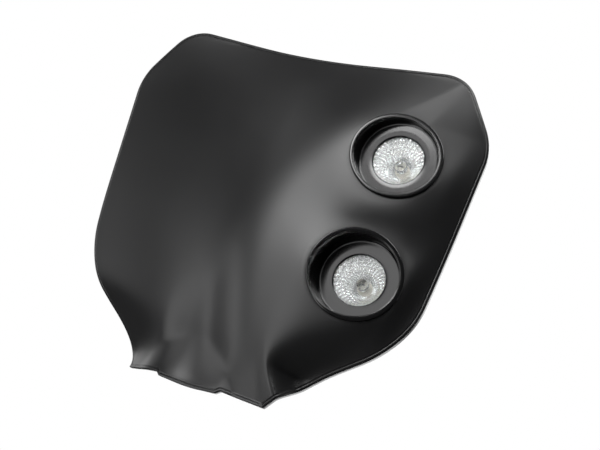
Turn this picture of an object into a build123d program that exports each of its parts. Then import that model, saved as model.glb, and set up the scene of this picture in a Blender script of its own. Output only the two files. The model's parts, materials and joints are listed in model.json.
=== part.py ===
"""Enduro headlight: a moulded mask with two stacked reflector lamps and its rear bracket.

Millimetres. +X is the lamps' side, -Y the front, +Z up. The origin lies midway between the
two bolt sleeves of the rear bracket, on their rear ends. Heights along the mask are counted
from the bottom of its tab, depths are counted forwards from the plane of its edge.
"""

from build123d import *
import math
import os

# Where the mask stands from the mount
mount_standoff = 60.0
mount_height = 160.0

# Outline of the mask: half widths and heights of its corners, before rounding
top_middle_height = 314.8
top_corner_half_width = 136.0
top_corner_height = 326.2
widest_half_width = 172.4
chamfer_drop = 58.5
shoulder_half_width = 155.3
shoulder_height = 82.6
waist_half_width = 93.7
waist_height = 35.4
tip_half_width = 67.5
tip_height = 2.5
notch_half_width = 29.3
notch_height = 4.8
tab_half_width = 25.7
tab_corner_height = 2.0
top_middle_radius = 1400.0
top_corner_radius = 34.0
widest_radius = 51.0
shoulder_radius = 86.0
waist_radius = 160.0
tip_radius = 2.0
notch_radius = 0.8
tab_radius = 300.0

# Wall and rolled edge
wall = 3.0
edge_roll_depth = 7.0
edge_roll_width = 3.4

# Form of the front: depth of the shield's crown and of the lamp bulge, at heights
crown_depths = ((20.0, 39.8), (90.0, 37.1), (180.0, 32.5), (320.0, 4.2))
bulge_depths = ((20.0, 47.9), (90.0, 47.7), (180.0, 36.2), (320.0, 8.2))
bulge_crest = ((20.0, 68.7), (120.0, 31.4), (250.0, 72.5))
bulge_right_power = ((30.0, 1.37), (125.0, 3.4), (235.0, 2.41))
bulge_left_reach_low = 83.0
bulge_left_reach_high = 87.2
bulge_left_power = 2.5
bulge_least_reach = 30.0
crown_power = 1.58
crown_rounding = 8.0
cheek_offset = 20.8
cheek_drop = 14.1
cheek_low = 60.0
cheek_span = 150.0
valley_blend = 11.2
side_dip = 6.0
side_dip_height = 80.0
top_rise = 4.0
tip_rise = 14.0
tip_rise_length = 8.0
narrowing_height = 47.0
narrowing_length = 12.0
lip_flare = 7.0
lip_height = 42.0
lip_half_width = 50.0
lip_offset = -8.0
back_limit = 14.0
back_softness = 5.0

# Surface grid
grid_step = 14.0
grid_margin = 12.0

# Lamps
lamp_x = 101.0
upper_lamp_height = 235.0
lower_lamp_height = 126.0
upper_pad_depth = 26.0
upper_pad_right_tilt = 10.5
upper_pad_up_tilt = 7.5
upper_pad_reach = 20.7
lower_pad_depth = 34.8
lower_pad_right_tilt = 14.0
lower_pad_up_tilt = 6.0
lower_pad_reach = 15.6
pad_radius = 42.0
pad_fade = 3.0
pad_hold = 0.05
ring_depth = 17.0

# Bezel
lip_outer_radius = 39.4
lip_proud = 2.6
lip_seat_depth = 0.4
lip_seat_clearance = 0.3
lip_inner_rounding = 1.0
lip_outer_rounding = 0.8
barrel_radius = 36.8
barrel_clearance = 0.3
pocket_draft = 3.0
pocket_foot_radius = 34.0
pocket_foot_rounding = 1.4
ring_thickness = 3.0
lamp_window_radius = 21.8
window_chamfer = 0.6

# Collar behind the mask, on which the lamp housing seats
collar_wall = 2.6
collar_end_depth = 6.0

# Lamp: a 50 mm reflector lamp with a two-pin foot
lamp_radius = 25.0
lamp_rim_length = 2.4
glass_radius = 23.4
glass_thickness = 1.5
glass_clearance = 0.15
reflector_wall = 1.3
reflector_shoulder = 0.9
bowl_depth = 24.0
neck_radius = 9.5
neck_bore_radius = 6.5
neck_length = 14.0
facet_count = 36
facet_bands = 6
capsule_radius = 4.9
capsule_front = 6.0
capsule_ring_radius = 6.1
capsule_ring_length = 2.0
base_radius = 8.0
base_length = 4.0
pin_radius = 0.75
pin_spacing = 5.33
pin_length = 7.5

# Seal, spring ring and socket
seal_inner_radius = 23.6
seal_outer_radius = 26.4
seal_thickness = 1.0
spring_ring_inner_radius = 24.3
spring_ring_outer_radius = 26.8
spring_ring_thickness = 1.2
socket_radius = 9.0
socket_length = 13.0
pin_clearance = 0.08
pin_hole_extra = 1.0
stem_radius = 3.4
stem_length = 4.0
stem_clearance = 0.1
plug_clearance = 0.1

# Lamp housing
nose_inner_radius = 24.6
nose_outer_radius = 27.0
housing_plate_radius = 43.0
housing_plate_thickness = 3.0
housing_wall = 2.4
housing_front_radius = 29.0
housing_rear_radius = 19.0
housing_front_length = 13.0
housing_cone_length = 14.0
housing_tail_room = 2.0
housing_rib_count = 6
housing_rib_thickness = 2.2
housing_rib_height = 8.0
housing_rib_reach = 8.0
grommet_hole_radius = 6.0
grommet_flange_radius = 9.0
grommet_flange_thickness = 1.8
grommet_inner_radius = 8.5
grommet_inner_thickness = 1.5
nozzle_radius = 4.6
nozzle_length = 4.8
cable_hole_radius = 2.6

# Housing screws, three to a lamp, driven into posts of the bezel
post_circle_radius = 33.2
post_radius = 3.2
screw_count = 3
screw_radius = 1.7
screw_length = 11.0
screw_clearance = 0.25
pilot_clearance = 0.05
pilot_extra = 1.0
screw_head_radius = 3.4
screw_head_height = 2.4
drive_slot_width = 0.9
drive_slot_depth = 1.2

# Rear bracket, folded from strip
bracket_width = 44.0
bracket_thickness = 2.5
bracket_bend_radius = 6.0
top_foot_margin = 30.8
top_foot_depth = -6.0
bottom_foot_height = 60.0
bottom_foot_depth = 14.0
foot_length = 32.0
plate_end_margin = 26.0
foot_screw_spacing = 28.0
boss_radius = 5.5
bolt_spacing = 90.0
window_length = 52.0
window_width = 18.0
corner_radius = 7.0

# Bracket screws and washers
bracket_screw_radius = 2.0
bracket_screw_length = 14.0
bracket_screw_head_radius = 3.9
bracket_screw_head_height = 2.8
washer_radius = 5.2
washer_thickness = 1.0

# Rubber bushes and steel sleeves at the bolt holes
bush_hole_radius = 9.0
bush_flange_radius = 13.0
bush_flange_thickness = 2.5
sleeve_radius = 6.0
bolt_hole_radius = 3.25
sleeve_overhang = 0.5
bush_clearance = 0.05

edge_y = -mount_standoff
top_foot_height = top_middle_height - top_foot_margin


def level(height):
    """Z of a height along the mask."""
    return height - mount_height


def curve_through(height, stations):
    """Smooth curve through a few (height, value) stations."""
    total = 0.0
    for here, value in stations:
        term = value
        for other, _ in stations:
            if other != here:
                term *= (height - other) / (here - other)
        total += term
    return total


def ease(t):
    """0 below 0, 1 above 1, rounded in between."""
    t = min(max(t, 0.0), 1.0)
    return t * t * (3 - 2 * t)


def half_width(height):
    """Smooth half width of the mask, for the form of its front."""
    widest_height = top_corner_height - chamfer_drop
    taper = (widest_half_width - shoulder_half_width) / (widest_height - shoulder_height)
    side = shoulder_half_width + taper * (height - shoulder_height)
    foot = shoulder_half_width - taper * shoulder_height - tip_half_width
    lower = foot * 1.05 / (1 + math.exp((height - narrowing_height) / narrowing_length))
    upper = 45.0 / (1 + math.exp((top_corner_height - 9.0 - height) / 10.0))
    return max(side - lower - upper, 50.0)


def pad_slopes(right_tilt, up_tilt):
    """Loss of depth per millimetre to the right and upwards on a tilted lamp pad."""
    return math.tan(math.radians(right_tilt)), math.tan(math.radians(up_tilt))


pads = (
    (upper_lamp_height, upper_pad_depth, *pad_slopes(upper_pad_right_tilt, upper_pad_up_tilt)),
    (lower_lamp_height, lower_pad_depth, *pad_slopes(lower_pad_right_tilt, lower_pad_up_tilt)),
)
pad_reaches = (upper_pad_reach, lower_pad_reach)


def front_depth(x, height):
    """How far the front of the mask stands forwards of the plane of its edge."""
    width = half_width(height)
    low = 1 - ease((height - cheek_low) / cheek_span)
    edge = tip_rise * math.exp(-max(height - tip_height, 0.0) / tip_rise_length)
    edge -= side_dip * math.exp(-(((height - side_dip_height) / 40.0) ** 2))
    edge += top_rise * math.exp(-(((height - top_corner_height) / 40.0) ** 2))

    apex = -cheek_offset * low
    left = math.hypot(max(apex - x, 0.0), crown_rounding) / (width + apex)
    right = max(x - apex, 0.0) / width
    crown = max(curve_through(height, crown_depths) - edge, 1.0)
    shield = edge + crown * (1 - left**crown_power)
    shield -= cheek_drop * low * (1 - math.exp(-((4 * right) ** 2)))
    shield -= crown * right**2 * (1 - low)

    crest = curve_through(height, bulge_crest)
    reach = (height - 50.0) / 180.0 * (bulge_left_reach_high - bulge_left_reach_low)
    power = min(max(curve_through(height, bulge_right_power), 1.3), 6.0)
    outward = math.hypot(max(x - crest, 0.0) / max(width - crest, bulge_least_reach), 0.01)
    inward = max(crest - x, 0.0) / max(bulge_left_reach_low + reach, 20.0)
    bulge_fall = min(outward**power, 3.0) + inward**bulge_left_power
    bulge = edge + max(curve_through(height, bulge_depths) - edge, 1.0) * (1 - bulge_fall)

    depth = (shield + bulge + math.hypot(shield - bulge, valley_blend)) / 2 - valley_blend / 10
    under_arch = lip_height * (1 - ((x - lip_offset) / lip_half_width) ** 2) - height
    depth += lip_flare * (max(under_arch, 0.0) / lip_height) ** 2
    depth = back_softness * math.log1p(math.exp((depth + back_limit) / back_softness)) - back_limit

    weights = 1.0
    for (pad_height, pad_depth, right_slope, up_slope), reach in zip(pads, pad_reaches):
        outside = max(math.hypot(x - lamp_x, height - pad_height) - pad_radius, pad_hold)
        pull = (reach / outside) ** pad_fade
        flat = pad_depth - right_slope * (x - lamp_x) - up_slope * (height - pad_height)
        depth += pull * flat
        weights += pull
    return depth / weights


def front_point(x, height, inwards):
    """Point of the front, moved back along the wall's own direction."""
    step = 0.5
    right_slope = (front_depth(x + step, height) - front_depth(x - step, height)) / (2 * step)
    up_slope = (front_depth(x, height + step) - front_depth(x, height - step)) / (2 * step)
    back = Vector(right_slope, 1.0, up_slope).normalized() * inwards
    return Vector(x, edge_y - front_depth(x, height), level(height)) + back


def body_behind(inwards, push=0.0):
    """Everything behind the front surface, moved back along the wall or straight along Y."""
    columns = math.ceil((widest_half_width + grid_margin) / grid_step)
    rows = math.ceil((top_corner_height + 2 * grid_margin) / grid_step)
    shares = [index / (2 * columns) for index in range(2 * columns + 1)]
    sections = []
    for row in range(rows + 1):
        height = row * grid_step - grid_margin
        across = [(share * 2 - 1) * columns * grid_step for share in shares]
        points = [front_point(x, height, inwards) + Vector(0, push, 0) for x in across]
        sections.append(Wire([Edge.make_spline(points, parameters=shares)]))
    face = Shell.make_loft(sections).faces()[0]
    return Solid.extrude(face, Vector(0, 2 * mount_standoff, 0))


def outline_corners():
    """Corners of the right half of the outline, each with its radius, from the top middle."""
    widest_height = top_corner_height - chamfer_drop
    return [
        (0.0, top_middle_height, top_middle_radius),
        (top_corner_half_width, top_corner_height, top_corner_radius),
        (widest_half_width, widest_height, widest_radius),
        (shoulder_half_width, shoulder_height, shoulder_radius),
        (waist_half_width, waist_height, waist_radius),
        (tip_half_width, tip_height, tip_radius),
        (notch_half_width, notch_height, notch_radius),
        (tab_half_width, tab_corner_height, notch_radius),
        (0.0, 0.0, tab_radius),
    ]


def mask_outline():
    """Rounded outline of the mask, with each radius limited by the sides beside it."""
    right = outline_corners()
    left = [(-x, height, radius) for x, height, radius in reversed(right[1:-1])]
    corners = right + left
    points = [(x, level(height)) for x, height, _ in corners]
    radii = []
    for index, (_, _, radius) in enumerate(corners):
        here = Vector(*points[index])
        before = Vector(*points[index - 1]) - here
        after = Vector(*points[(index + 1) % len(points)]) - here
        half_turn = math.radians((180 - before.get_angle(after)) / 2)
        room = 0.48 * min(before.length, after.length)
        radii.append(min(radius, room / math.tan(half_turn)))
    return FilletPolyline(*points, radius=radii, close=True)


def pad_plane(pad):
    """Plane of a lamp pad, facing forwards."""
    height, depth, right_slope, up_slope = pad
    origin = (lamp_x, edge_y - depth, level(height))
    return Plane(origin=origin, x_dir=(1, right_slope, 0), z_dir=(right_slope, -1, up_slope))


front_body = body_behind(0.0)
middle_body = body_behind(wall / 2)
inner_body = body_behind(wall)
rolled_body = body_behind(0.0, push=edge_roll_depth)

hole_radius = barrel_radius + barrel_clearance
outline_plane = Plane.XZ.offset(-edge_y)
foot_screws = [(sign * foot_screw_spacing / 2, 0) for sign in (-1, 1)]
feet = ((top_foot_height, top_foot_depth), (bottom_foot_height, bottom_foot_depth))


def back_plane(x, height, depth):
    """Plane across Y that faces back, with its X along +X."""
    return Plane(origin=(x, edge_y - depth, level(height)), x_dir=(1, 0, 0), z_dir=(0, 1, 0))


# Rolled edge of the mask
with BuildPart() as edge_roll:
    with BuildSketch(outline_plane):
        with BuildLine():
            mask_outline()
        make_face()
        offset(amount=-edge_roll_width, mode=Mode.SUBTRACT)
    extrude(amount=mount_standoff, both=True)
    add(middle_body, mode=Mode.INTERSECT)
    add(rolled_body, mode=Mode.SUBTRACT)

# Collars round the lamp holes and bosses for the bracket's feet, up to the middle of the wall
with BuildPart() as backing:
    for pad in pads:
        with BuildSketch(back_plane(lamp_x, pad[0], collar_end_depth)):
            Circle(hole_radius + collar_wall)
        extrude(amount=-mount_standoff)
    for foot_height, foot_depth in feet:
        with BuildSketch(back_plane(0, foot_height, foot_depth)):
            with Locations(*foot_screws):
                Circle(boss_radius)
        extrude(amount=-mount_standoff)
    add(middle_body, mode=Mode.INTERSECT)

with BuildPart() as mask_shell:
    with BuildSketch(outline_plane):
        with BuildLine():
            mask_outline()
        make_face()
    extrude(amount=mount_standoff, both=True)
    add(front_body, mode=Mode.INTERSECT)
    add(inner_body, mode=Mode.SUBTRACT)
    add(edge_roll.part)
    add(backing.part)
    for pad in pads:
        with BuildSketch(back_plane(lamp_x, pad[0], collar_end_depth)):
            Circle(hole_radius)
        extrude(amount=mount_standoff, both=True, mode=Mode.SUBTRACT)
        with BuildSketch(pad_plane(pad).offset(-lip_seat_depth)):
            Circle(lip_outer_radius + lip_seat_clearance)
        extrude(amount=mount_standoff, mode=Mode.SUBTRACT)
    for foot_height, foot_depth in feet:
        with BuildSketch(back_plane(0, foot_height, foot_depth)):
            with Locations(*foot_screws):
                Circle(bracket_screw_radius + pilot_clearance)
        reach = bracket_screw_length - washer_thickness - bracket_thickness + pilot_extra
        extrude(amount=-reach, mode=Mode.SUBTRACT)
mask_shell.part.label = "mask_shell"

# Places along a lamp's axis, counted back from the front of the lamp
lamp_depth = ring_depth - ring_thickness - seal_thickness
plate_front = lamp_depth - collar_end_depth
plate_back = plate_front + housing_plate_thickness
neck_end = bowl_depth + neck_length
foot_end = neck_end + base_length
socket_end = foot_end + socket_length
end_wall_front = socket_end + housing_tail_room
end_wall_back = end_wall_front + housing_wall
nose_tip = lamp_rim_length + spring_ring_thickness


def along(height, back):
    """Plane across a lamp's axis, a way back from the front of the lamp."""
    return back_plane(lamp_x, height, lamp_depth - back)


def section_plane(height, turn=0.0):
    """Plane through a lamp's axis: X is the radius, Y runs back from the front of the lamp."""
    angle = math.radians(turn)
    return Plane(
        origin=(lamp_x, edge_y - lamp_depth, level(height)),
        x_dir=(math.cos(angle), 0, math.sin(angle)),
        z_dir=(-math.sin(angle), 0, math.cos(angle)),
    )


def lamp_axis(height):
    """Axis of a lamp, pointing back."""
    return Axis((lamp_x, edge_y - lamp_depth, level(height)), (0, 1, 0))


def turned(height, points):
    """Solid turned about a lamp's axis from a closed (radius, way back) outline."""
    with BuildPart() as solid:
        with BuildSketch(section_plane(height)):
            with BuildLine():
                Polyline(*points, close=True)
            make_face()
        revolve(axis=lamp_axis(height))
    return solid


def bowl_radius(back, front_radius, front, rear_radius, rear):
    """Radius of a paraboloid bowl that passes through its two rims."""
    share = (back - front) / (rear - front)
    return math.sqrt(front_radius**2 + (rear_radius**2 - front_radius**2) * share)


def make_bezel(name, pad):
    """Pocket of a lamp: tilted lip, tapered wall, flat ring and three screw posts."""
    height, depth, _, _ = pad
    face = pad_plane(pad)
    with BuildPart() as bezel:
        with BuildSketch(along(height, -seal_thickness)):
            Circle(barrel_radius)
        extrude(amount=-mount_standoff)
        split(bisect_by=face.offset(-lip_seat_depth), keep=Keep.BOTTOM)
        with BuildSketch(face.offset(-lip_seat_depth)):
            Circle(lip_outer_radius)
        extrude(amount=lip_proud + lip_seat_depth)
        with BuildSketch(along(height, -seal_thickness - ring_thickness)):
            Circle(pocket_foot_radius)
        extrude(amount=-mount_standoff, taper=-pocket_draft, mode=Mode.SUBTRACT)
        rims = bezel.faces().sort_by(Axis(face.origin, face.z_dir))[-1].edges()
        rims = rims.sort_by(lambda edge: edge.length)
        fillet(rims[0], radius=lip_inner_rounding)
        outer = bezel.faces().sort_by(Axis(face.origin, face.z_dir))[-1].edges()
        fillet(outer.sort_by(lambda edge: edge.length)[-1], radius=lip_outer_rounding)
        foot = bezel.edges().filter_by(GeomType.CIRCLE)
        foot = foot.filter_by(lambda edge: abs(edge.radius - pocket_foot_radius) < 0.01)
        fillet(foot, radius=pocket_foot_rounding)
        with BuildSketch(along(height, -seal_thickness)):
            Circle(lamp_window_radius)
        extrude(amount=-mount_standoff, mode=Mode.SUBTRACT)
        circles = bezel.edges().filter_by(GeomType.CIRCLE)
        rims = circles.filter_by(lambda edge: abs(edge.radius - lamp_window_radius) < 0.01)
        chamfer(rims.sort_by(Axis.Y)[0], length=window_chamfer)
        with BuildSketch(along(height, -seal_thickness)):
            with PolarLocations(post_circle_radius, screw_count, start_angle=90):
                Circle(post_radius)
        extrude(amount=seal_thickness + plate_front)
        with BuildSketch(along(height, plate_front)):
            with PolarLocations(post_circle_radius, screw_count, start_angle=90):
                Circle(screw_radius + pilot_clearance)
        reach = screw_length - housing_plate_thickness + pilot_extra
        extrude(amount=-reach, mode=Mode.SUBTRACT)
    bezel.part.label = f"{name}_bezel"
    export_step(bezel.part, f"parts/{name}_bezel.step")


def make_seal(name, height):
    """Rubber ring between the flat ring and the lamp."""
    with BuildPart() as seal:
        with BuildSketch(along(height, 0)):
            Circle(seal_outer_radius)
            Circle(seal_inner_radius, mode=Mode.SUBTRACT)
        extrude(amount=-seal_thickness)
    seal.part.label = f"{name}_seal"
    export_step(seal.part, f"parts/{name}_seal.step")


def make_reflector(name, height):
    """Glass bowl with facets inside, a seat for the cover glass and a neck."""
    rim_inner = lamp_radius - reflector_shoulder
    outer = [
        (bowl_radius(back, rim_inner, lamp_rim_length, neck_radius, bowl_depth), back)
        for back in [lamp_rim_length + (bowl_depth - lamp_rim_length) * step / 4 for step in range(5)]
    ]
    floor = bowl_depth - reflector_wall
    mouth = rim_inner - reflector_wall
    with BuildPart() as reflector:
        with BuildSketch(section_plane(height)):
            with BuildLine():
                Polyline((0, 0), (lamp_radius, 0), (lamp_radius, lamp_rim_length), outer[0])
                Spline(*outer)
                Polyline(outer[-1], (neck_radius, neck_end), (0, neck_end), (0, 0))
            make_face()
        revolve(axis=lamp_axis(height))
        for band in range(facet_bands + 1):
            back = glass_thickness + (floor - glass_thickness) * band / facet_bands
            with BuildSketch(along(height, back)):
                RegularPolygon(bowl_radius(back, mouth, glass_thickness, neck_bore_radius, floor), facet_count)
        loft(ruled=True, mode=Mode.SUBTRACT)
        with BuildSketch(along(height, 0)):
            Circle(glass_radius + glass_clearance)
        extrude(amount=glass_thickness, mode=Mode.SUBTRACT)
        with BuildSketch(along(height, floor - reflector_wall)):
            Circle(neck_bore_radius)
        extrude(amount=neck_end, mode=Mode.SUBTRACT)
    reflector.part.label = f"{name}_reflector"
    export_step(reflector.part, f"parts/{name}_reflector.step")


def make_cover_glass(name, height):
    """Clear disc in the front of the bowl."""
    with BuildPart() as cover_glass:
        with BuildSketch(along(height, 0)):
            Circle(glass_radius)
        extrude(amount=glass_thickness)
    cover_glass.part.label = f"{name}_cover_glass"
    export_step(cover_glass.part, f"parts/{name}_cover_glass.step")


def make_capsule(name, height):
    """Halogen capsule: domed tube on a narrower stem."""
    floor = bowl_depth - reflector_wall
    shoulder = floor - capsule_ring_length
    with BuildPart() as capsule:
        with BuildSketch(section_plane(height)):
            with BuildLine():
                RadiusArc(
                    (0, capsule_front), (capsule_radius, capsule_front + capsule_radius), -capsule_radius
                )
                Polyline(
                    (capsule_radius, capsule_front + capsule_radius),
                    (capsule_radius, shoulder - capsule_ring_length),
                    (stem_radius, shoulder),
                    (stem_radius, floor + stem_length),
                    (0, floor + stem_length),
                    (0, capsule_front),
                )
            make_face()
        revolve(axis=lamp_axis(height))
    capsule.part.label = f"{name}_capsule"
    export_step(capsule.part, f"parts/{name}_capsule.step")


def make_lamp_base(name, height):
    """Ceramic plug in the neck, with the foot that carries the pins."""
    floor = bowl_depth - reflector_wall
    plug = neck_bore_radius - plug_clearance
    socket_of_stem = stem_radius + stem_clearance
    lamp_base = turned(
        height,
        [
            (socket_of_stem, floor),
            (capsule_ring_radius, floor),
            (plug, floor + plug_clearance * 3),
            (plug, neck_end),
            (base_radius, neck_end),
            (base_radius, foot_end),
            (0, foot_end),
            (0, floor + stem_length),
            (socket_of_stem, floor + stem_length),
        ],
    )
    lamp_base.part.label = f"{name}_lamp_base"
    export_step(lamp_base.part, f"parts/{name}_lamp_base.step")


def make_contact_pins(name, height):
    """The lamp's two pins."""
    with BuildPart() as contact_pins:
        with BuildSketch(along(height, foot_end)):
            with Locations((-pin_spacing / 2, 0), (pin_spacing / 2, 0)):
                Circle(pin_radius)
        extrude(amount=pin_length)
    contact_pins.part.label = f"{name}_contact_pins"
    export_step(contact_pins.part, f"parts/{name}_contact_pins.step")


def make_socket(name, height):
    """Ceramic socket on the pins."""
    with BuildPart() as socket:
        with BuildSketch(along(height, foot_end)):
            Circle(socket_radius)
        extrude(amount=socket_length)
        with BuildSketch(along(height, foot_end)):
            with Locations((-pin_spacing / 2, 0), (pin_spacing / 2, 0)):
                Circle(pin_radius + pin_clearance)
        extrude(amount=pin_length + pin_hole_extra, mode=Mode.SUBTRACT)
    socket.part.label = f"{name}_socket"
    export_step(socket.part, f"parts/{name}_socket.step")


def make_spring_ring(name, height):
    """Ring that presses the lamp's rim on its seal."""
    with BuildPart() as spring_ring:
        with BuildSketch(along(height, lamp_rim_length)):
            Circle(spring_ring_outer_radius)
            Circle(spring_ring_inner_radius, mode=Mode.SUBTRACT)
        extrude(amount=spring_ring_thickness)
    spring_ring.part.label = f"{name}_spring_ring"
    export_step(spring_ring.part, f"parts/{name}_spring_ring.step")


def make_housing(name, height):
    """Rear bucket: nose that presses the spring ring, plate on the collar, tapered barrel."""
    barrel_end = plate_back + housing_front_length
    cone_end = barrel_end + housing_cone_length
    turn = math.atan2(housing_front_radius - housing_rear_radius, housing_cone_length)
    shift = housing_wall * math.tan(turn / 2)
    with BuildPart() as housing:
        with BuildSketch(section_plane(height)):
            with BuildLine():
                Polyline(
                    (nose_inner_radius, nose_tip),
                    (nose_outer_radius, nose_tip),
                    (nose_outer_radius, plate_front),
                    (housing_plate_radius, plate_front),
                    (housing_plate_radius, plate_back),
                    (housing_front_radius, plate_back),
                    (housing_front_radius, barrel_end),
                    (housing_rear_radius, cone_end),
                    (housing_rear_radius, end_wall_back),
                    (grommet_hole_radius, end_wall_back),
                    (grommet_hole_radius, end_wall_front),
                    (housing_rear_radius - housing_wall, end_wall_front),
                    (housing_rear_radius - housing_wall, cone_end - shift),
                    (housing_front_radius - housing_wall, barrel_end - shift),
                    (housing_front_radius - housing_wall, plate_back),
                    (nose_inner_radius, plate_back),
                    close=True,
                )
            make_face()
        revolve(axis=lamp_axis(height))
        for rib in range(housing_rib_count):
            with BuildSketch(section_plane(height, rib * 360 / housing_rib_count)):
                with BuildLine():
                    root = housing_front_radius - housing_wall / 2
                    Polyline(
                        (root, plate_back - housing_wall / 2),
                        (housing_front_radius + housing_rib_reach, plate_back - housing_wall / 2),
                        (housing_front_radius + housing_rib_reach, plate_back),
                        (housing_front_radius, plate_back + housing_rib_height),
                        (root, plate_back + housing_rib_height),
                        close=True,
                    )
                make_face()
            extrude(amount=housing_rib_thickness / 2, both=True)
        with BuildSketch(along(height, plate_front)):
            with PolarLocations(post_circle_radius, screw_count, start_angle=90):
                Circle(screw_radius + screw_clearance)
        extrude(amount=housing_plate_thickness, mode=Mode.SUBTRACT)
    housing.part.label = f"{name}_housing"
    export_step(housing.part, f"parts/{name}_housing.step")


def make_grommet(name, height):
    """Rubber cable inlet in the end wall."""
    grommet = turned(
        height,
        [
            (cable_hole_radius, end_wall_front - grommet_inner_thickness),
            (grommet_inner_radius, end_wall_front - grommet_inner_thickness),
            (grommet_inner_radius, end_wall_front),
            (grommet_hole_radius, end_wall_front),
            (grommet_hole_radius, end_wall_back),
            (grommet_flange_radius, end_wall_back),
            (grommet_flange_radius, end_wall_back + grommet_flange_thickness),
            (nozzle_radius, end_wall_back + grommet_flange_thickness),
            (cable_hole_radius + 1, end_wall_back + grommet_flange_thickness + nozzle_length),
            (cable_hole_radius, end_wall_back + grommet_flange_thickness + nozzle_length),
        ],
    )
    grommet.part.label = f"{name}_grommet"
    export_step(grommet.part, f"parts/{name}_grommet.step")


def screws(planes, radius, length, head_radius, head_height):
    """Pan-head screws whose heads stand on the given planes, each with a cross recess."""
    with BuildPart() as group:
        for plane in planes:
            with BuildSketch(plane):
                Circle(radius)
            extrude(amount=-length)
            with BuildSketch(plane):
                Circle(head_radius)
            extrude(amount=head_height)
            with BuildSketch(plane.offset(head_height - drive_slot_depth)):
                Rectangle(head_radius * 1.2, drive_slot_width)
                Rectangle(drive_slot_width, head_radius * 1.2)
            extrude(amount=drive_slot_depth, mode=Mode.SUBTRACT)
    return group


os.makedirs("parts", exist_ok=True)
export_step(mask_shell.part, "parts/mask_shell.step")

for lamp_name, pad in (("upper", pads[0]), ("lower", pads[1])):
    make_bezel(lamp_name, pad)
    make_seal(lamp_name, pad[0])
    make_cover_glass(lamp_name, pad[0])
    make_reflector(lamp_name, pad[0])
    make_capsule(lamp_name, pad[0])
    make_lamp_base(lamp_name, pad[0])
    make_contact_pins(lamp_name, pad[0])
    make_socket(lamp_name, pad[0])
    make_spring_ring(lamp_name, pad[0])
    make_housing(lamp_name, pad[0])
    make_grommet(lamp_name, pad[0])

post_turns = [math.radians(90 + index * 360 / screw_count) for index in range(screw_count)]
housing_screw_planes = [
    back_plane(
        lamp_x + post_circle_radius * math.cos(turn),
        pad[0] - post_circle_radius * math.sin(turn),
        lamp_depth - plate_back,
    )
    for pad in pads
    for turn in post_turns
]
housing_screws = screws(
    housing_screw_planes, screw_radius, screw_length, screw_head_radius, screw_head_height
)
housing_screws.part.label = "housing_screws"
export_step(housing_screws.part, "parts/housing_screws.step")

# Rear bracket: middle line of the strip from the top foot over the back plate to the bottom foot
plate_y = -sleeve_overhang - bush_flange_thickness - bracket_thickness / 2
top_foot_y = edge_y - top_foot_depth + bracket_thickness / 2
bottom_foot_y = edge_y - bottom_foot_depth + bracket_thickness / 2
top_bend = top_foot_height - foot_length / 2
bottom_bend = bottom_foot_height + foot_length / 2
strip_line = [
    (top_foot_y, level(top_foot_height + foot_length / 2)),
    (top_foot_y, level(top_bend)),
    (plate_y, bolt_spacing / 2 + plate_end_margin),
    (plate_y, -bolt_spacing / 2 - plate_end_margin),
    (bottom_foot_y, level(bottom_bend)),
    (bottom_foot_y, level(bottom_foot_height - foot_length / 2)),
]
with BuildPart() as rear_bracket:
    with BuildSketch(Plane.YZ):
        with BuildLine():
            FilletPolyline(*strip_line, radius=bracket_bend_radius)
        trace(line_width=bracket_thickness)
    extrude(amount=bracket_width / 2, both=True)
    corners = rear_bracket.edges().filter_by(Axis.Y).group_by(Axis.Z)
    fillet(corners[0] + corners[-1], radius=corner_radius)
    for foot_height, foot_depth in feet:
        with BuildSketch(back_plane(0, foot_height, foot_depth)):
            with Locations(*foot_screws):
                Circle(bracket_screw_radius + screw_clearance)
        extrude(amount=bracket_thickness, mode=Mode.SUBTRACT)
    with BuildSketch(Plane.XZ.offset(-plate_y)):
        with Locations((0, -bolt_spacing / 2), (0, bolt_spacing / 2)):
            Circle(bush_hole_radius)
        SlotOverall(window_length, window_width, rotation=90)
    extrude(amount=bracket_thickness, both=True, mode=Mode.SUBTRACT)
rear_bracket.part.label = "rear_bracket"
export_step(rear_bracket.part, "parts/rear_bracket.step")

washer_planes = [
    back_plane(x, foot_height, foot_depth - bracket_thickness)
    for foot_height, foot_depth in feet
    for x, _ in foot_screws
]
with BuildPart() as bracket_washers:
    for plane in washer_planes:
        with BuildSketch(plane):
            Circle(washer_radius)
            Circle(bracket_screw_radius + screw_clearance, mode=Mode.SUBTRACT)
        extrude(amount=washer_thickness)
bracket_washers.part.label = "bracket_washers"
export_step(bracket_washers.part, "parts/bracket_washers.step")

bracket_screws = screws(
    [plane.offset(washer_thickness) for plane in washer_planes],
    bracket_screw_radius,
    bracket_screw_length,
    bracket_screw_head_radius,
    bracket_screw_head_height,
)
bracket_screws.part.label = "bracket_screws"
export_step(bracket_screws.part, "parts/bracket_screws.step")

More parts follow.
